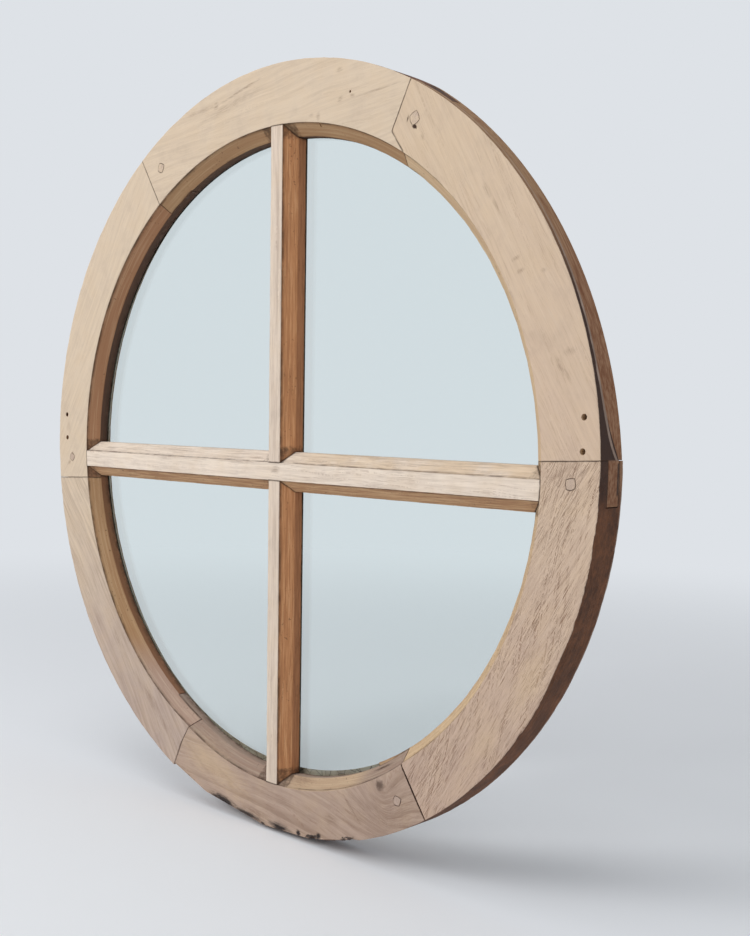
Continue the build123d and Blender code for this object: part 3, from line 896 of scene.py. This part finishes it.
FELLOES = (
    Plank("felloe_top", 1, "cream", "cream", "olive", "side_dark", turn=6, ring_width=7.5,
          figure=22, lines=0.07, silk=0.12, pores=0.15, marks=marks(
              "stain", (-44, 334.7, 70, 2.6, 14, 0.55), (-103, 324, 52, 5, 5, 0.4),
              (-62, 323, 95, 9, 12, 0.35), (-80, 326, 9, 6, 20, 0.55), (78.9, 331.1, 8, 5, 10, 0.45),
              (80.6, 307.8, 7, 4.5, 30, 0.6), (95, 308.3, 6, 3.5, 0, 0.6), (54.6, 297.9, 8, 5, 80, 0.5),
              (46, 300, 6, 3.5, 0, 0.4), (124, 308.8, 46, 1.8, 5, 0.45))),
    Plank("felloe_upper_right", 2, "peach", "sand", "straw", "side", ring_width=4, figure=14,
          lines=0.05, silk=0.1, pores=0.25, marks=marks(
              "dirt", (163.9, 274.2, 5.5, 3.4, -20, 1.6), (156.5, 281.5, 6, 1.6, 70, 0.9)) + marks(
              "stain", (172, 265, 7, 4, -50, 0.35), (238.5, 217.8, 16, 5, -57, 0.4),
              (247.5, 206, 14, 4, -57, 0.4), (268, 165.7, 9, 4, 25, 0.5), (272.1, 156, 9, 4, 25, 0.5),
              (293.4, 155.4, 6, 4, 0, 0.4), (311.4, 85.8, 15, 4, -58, 0.6),
              (317.8, 79.2, 13, 3.5, -58, 0.55), (319.1, 96.4, 12, 6, 10, 0.4))),
    Plank("felloe_lower_right", 3, "sand", "rose", "straw", "side", ring_width=4.6, figure=14,
          lines=0.12, silk=0.16, pores=1, rows=-0.36, marks=marks(
              "stain", (318, 9, 30, 4, 34, 0.45), (333, 7, 24, 3.5, 38, 0.4),
              (322, -20, 26, 3, 50, 0.35)) + marks(
              "straw", (296, -150, 60, 26, 63, 0.35), (250, -215, 70, 20, 55, 0.25))),
    Plank("felloe_bottom", 4, "tan", "tan", "ash", "ash", turn=-5, ring_width=13, figure=32,
          lines=0.5, silk=0.26, pores=0.4,
          knots=(Knot(142.2, -272.5, 26, 2.6, 5.5), Knot(152, -304, 22, 0.9, 0.1)), marks=marks(
              "bark", (-66, -336.5, 44, 10, -11, 1.2), (15, -343.5, 30, 9, -3, 1.1),
              (-30, -341.5, 50, 5, -6, 1), (40.5, -342.5, 6, 7, 20, 1.3), (67.1, -338.5, 7, 6, 40, 1.2),
              (100.4, -334, 11, 4, 14, 1.2)) + marks(
              "dirt", (178.8, -268.5, 54, 1.4, -56.2, 1.2), (139, -258.5, 26, 2.2, 29, 0.8),
              # Beside the 5 o'clock peg: grime and a painted crescent shadow.
              (162, -285.6, 6, 1.5, 8, 1.1), (166.8, -281, 5, 1.4, 80, 0.9),
              (-136, -295.3, 50, 1.2, 65.1, 0.9)) + marks(
              "stain", (-20, -337, 40, 8, -6, 0.8), (104, -298, 22, 2.4, -50, 0.9),
              (110, -303, 26, 2.6, -48, 0.9), (115, -308, 22, 2.2, -46, 0.8), (83, -319, 20, 14, 0, 0.6),
              (-57, -318, 16, 8, -30, 0.5), (-110, -300, 90, 4, -35, 0.35),
              (-60, -312, 80, 3, -25, 0.35), (20, -318, 110, 6, -8, 0.35), (150, -296, 90, 60, 20, 0.5),
              (36, -291, 34, 16, 5, 0.7)) + marks(
              "straw", (-85, -303, 120, 36, -22, 0.4))),
    Plank("felloe_lower_left", 5, "cream", "fawn", "olive", "side", turn=2, ring_width=5.5,
          figure=18, lines=0.16, silk=0.28, pores=0.3, marks=marks(
              "stain", (-186.8, -253.5, 34, 11, -50, 0.55), (-161, -279, 26, 8, -45, 0.45),
              (-204, -240, 30, 6, -52, 0.4), (-245, -195, 60, 5, -56, 0.35))),
    Plank("felloe_upper_left", 6, "cream", "cream", "umber", "side_dark", turn=-3, ring_width=5,
          figure=14, lines=0.05, silk=0.12, pores=0.15, marks=marks(
              "stain", (-324.3, -2.9, 7, 4, 60, 0.7), (-330.5, -11.9, 8, 4, 40, 0.6),
              (-331, 27, 14, 8, 80, 0.3))),
)
BARS = (
    Plank("glazing_bar_vertical", 8, "bone", "bone", "honey", "russet", ring_width=4.5, figure=8,
          lines=0.2, silk=0.24, pores=0.5, rows=0.05, streak=0.5),
    Plank("glazing_bar_horizontal", 9, "white", "white", "wheat", "wheat", ring_width=4, figure=8,
          lines=0.1, silk=0.2, pores=0.5, rows=0.05, streak=0.6, marks=marks(
              "stain", (4.4, -4.8, 12, 7, 10, 0.6), (-40, 1, 40, 3, 2, 0.35),
              (230, 3, 60, 3, -3, 0.35))),
)


# What the panel's buttons do

class WINDOW_OT_felloes(bpy.types.Operator):
    """Make the six worn felloes of the ring"""
    bl_idname = "window.felloes"
    bl_label = "Felloes"

    def execute(self, context):
        sizes = settings().sizes
        inner = sizes.ring_radius - sizes.face_width
        throat = inner - sizes.bevel_width
        outline = section("felloe_section", [
            (sizes.ring_radius, FRONT), *moulding(inner, throat, throat + sizes.rebate_width, BACK),
            (sizes.ring_radius, BACK)])
        group = moulding_tree()
        for plank in FELLOES:
            middle, reach = felloe_angles(plank.node)
            reach += math.radians(1)
            steps = math.ceil(2 * reach * sizes.ring_radius / sizes.mesh_step)
            dress(plank, group, outline, felloe_oak(plank, middle), {
                "Steps": steps, "Curved": 1.0, "Start": middle - reach, "Sweep": 2 * reach,
                **own_wear(plank.node)})
        clear_helpers()
        return {"FINISHED"}


class WINDOW_OT_bars(bpy.types.Operator):
    """Make the two worn glazing bars"""
    bl_idname = "window.bars"
    bl_label = "Glazing bars"

    def execute(self, context):
        sizes, past_the_ends = settings().sizes, 2 * MM
        group = moulding_tree()
        for plank, nose, upright in ((BARS[0], sizes.vertical_nose, True),
                                     (BARS[1], sizes.horizontal_nose, False)):
            low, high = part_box(plank.node)
            half = nose / 2
            throat = half + sizes.bevel_width
            side = moulding(half, throat, throat - sizes.rebate_width, high.y)
            outline = section(plank.node, [(-a, b) for a, b in side] + side[::-1])
            middle = (low + high) / 2
            if upright:
                origin, along, across = Vector((middle.x, 0, low.z)), Vector((0, 0, 1)), (1, 0, 0)
                run = high.z - low.z
            else:
                origin, along, across = Vector((low.x, 0, middle.z)), Vector((1, 0, 0)), (0, 0, -1)
                run = high.x - low.x
            dress(plank, group, outline, bar_oak(plank, upright), {
                "Steps": math.ceil(run / sizes.mesh_step), "Curved": 0.0, "Across": across,
                "Origin": origin - along * past_the_ends,
                "Along": along * (run + 2 * past_the_ends)})
        clear_helpers()
        return {"FINISHED"}


class WINDOW_OT_pegs(bpy.types.Operator):
    """Finish the six pegs"""
    bl_idname = "window.pegs"
    bl_label = "Pegs"

    def execute(self, context):
        set_material(frame["nodes"]["joint_pegs"], peg_oak())
        return {"FINISHED"}


class WINDOW_OT_glazing(bpy.types.Operator):
    """Finish the panes, their putty and the sprigs"""
    bl_idname = "window.glazing"
    bl_label = "Glazing"

    def execute(self, context):
        glass, putty = window_glass(), old_putty()
        for node, obj in frame["nodes"].items():
            if node.startswith("pane_"):
                set_material(obj, glass)
                obj.visible_shadow = False  # the lamps reach the putty and the floor through it
            elif node.startswith("putty_"):
                set_material(obj, putty)
        set_material(frame["nodes"]["glazing_sprigs"], sprig_steel())
        return {"FINISHED"}


def lamp(name, place, size, watts):
    """A square soft lamp that looks at the window's centre, and that the panes don't mirror."""
    data = bpy.data.lights.new(name, "AREA")
    data.size, data.energy = size, watts
    made = linked(name, data)
    made.location = place
    made.rotation_euler = (-Vector(place)).to_track_quat("-Z", "Y").to_euler()
    made.visible_glossy = made.visible_transmission = False


def seen_directly(tree):
    """1 for rays from the camera, and for what glass and gloss show, 0 for the light itself."""
    path = tree.node("ShaderNodeLightPath")
    return reduce(Field.most, [Field(tree, path.outputs[f"Is {kind} Ray"])
                               for kind in ("Camera", "Glossy", "Transmission")])


def floor_material():
    """A pale floor that fades into the backdrop with distance."""
    stage = settings().stage
    tree = new_material("floor_pale")
    x, y, z = tree.split(tree.place())
    away = hypotenuse(x, y).between(0.4, 2.4)
    plain = tree.field("ShaderNodeBsdfDiffuse", {"Color": (*stage.floor, 1.0)})
    glow = tree.field("ShaderNodeEmission", {"Color": (*stage.backdrop, 1.0)})
    return finished(tree, tree.field("ShaderNodeMixShader", {
        0: away * seen_directly(tree), 1: plain, 2: glow}))


def make_world():
    """Soft daylight from all round, which the camera sees as the plain backdrop."""
    stage = settings().stage
    world = bpy.data.worlds.new("studio")
    world.use_nodes = True
    bpy.context.scene.world = world
    tree = Tree(world.node_tree)
    around = tree.field("ShaderNodeBackground", {
        "Color": (0.93, 0.96, 1.0, 1.0), "Strength": stage.sky})
    behind = tree.field("ShaderNodeBackground", {"Color": (*stage.backdrop, 1.0), "Strength": 1.0})
    mixed = tree.field("ShaderNodeMixShader", {0: seen_directly(tree), 1: around, 2: behind})
    tree.node("ShaderNodeOutputWorld", {"Surface": mixed})


class WINDOW_OT_stage(bpy.types.Operator):
    """Make the floor, the lamps and the camera"""
    bl_idname = "window.stage"
    bl_label = "Stage"

    def execute(self, context):
        stage = settings().stage
        floor_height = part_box("felloe_bottom")[0].z - 0.5 * MM
        shape = bmesh.new()
        bmesh.ops.create_circle(shape, cap_ends=True, segments=96, radius=stage.floor_radius)
        mesh = bpy.data.meshes.new("floor")
        shape.to_mesh(mesh)
        shape.free()
        mesh.transform(Matrix.Translation((0.0, 0.0, floor_height)))
        floor = linked("floor", mesh)
        set_material(floor, floor_material())
        make_world()
        lamp("key", (-1.5, -2.6, 1.7), 1.8, stage.key)
        lamp("fill", (2.6, -1.8, 0.6), 1.4, stage.fill)
        lamp("top", (0.2, -0.9, 2.4), 1.6, stage.top)
        self.make_camera(context)
        context.scene.view_settings.view_transform = "Standard"
        return {"FINISHED"}

    def make_camera(self, context):
        """The photograph's viewpoint: at the right, a little above the centre of the window."""
        focal_px, picture_height_px, axis_drop_px = 1191.43, 936, 120
        place = Vector((814.750, -743.970, 49.290)) * MM
        target = Vector((131.892, 0.0, -99.500)) * MM
        roll = math.radians(1.2024)
        forward = (target - place).normalized()
        right = forward.cross(Vector((0, 0, 1))).normalized()
        up = right.cross(forward)
        right, up = (right * math.cos(roll) + up * math.sin(roll),
                     up * math.cos(roll) - right * math.sin(roll))
        data = bpy.data.cameras.new("camera")
        data.sensor_width = 36.0
        data.lens = focal_px * data.sensor_width / picture_height_px
        data.shift_y = axis_drop_px / picture_height_px
        camera = linked("camera", data)
        camera.matrix_world = Matrix((right, up, -forward)).transposed().to_4x4()
        camera.location = place
        context.scene.camera = camera


class WINDOW_PT_panel(bpy.types.Panel):
    """Lists the pieces of the window"""
    bl_label = "Round window"
    bl_idname = "WINDOW_PT_panel"
    bl_space_type = "VIEW_3D"
    bl_region_type = "UI"
    bl_category = "Window"

    def draw(self, context):
        for operator in OPERATORS:
            self.layout.operator(operator.bl_idname)


OPERATORS = (WINDOW_OT_felloes, WINDOW_OT_bars, WINDOW_OT_pegs, WINDOW_OT_glazing, WINDOW_OT_stage)
CLASSES = (WindowSizes, WindowWear, WindowFinish, WindowStage, WindowSettings, *OPERATORS,
           WINDOW_PT_panel)


def register():
    for item in CLASSES:
        bpy.utils.register_class(item)
    bpy.types.Scene.round_window = PointerProperty(type=WindowSettings)


def unregister():
    del bpy.types.Scene.round_window
    for item in reversed(CLASSES):
        bpy.utils.unregister_class(item)


def main():
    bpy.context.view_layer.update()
    register()
    bpy.ops.window.felloes()
    bpy.ops.window.bars()
    bpy.ops.window.pegs()
    bpy.ops.window.glazing()
    bpy.ops.window.stage()


if __name__ == "__main__":
    main()
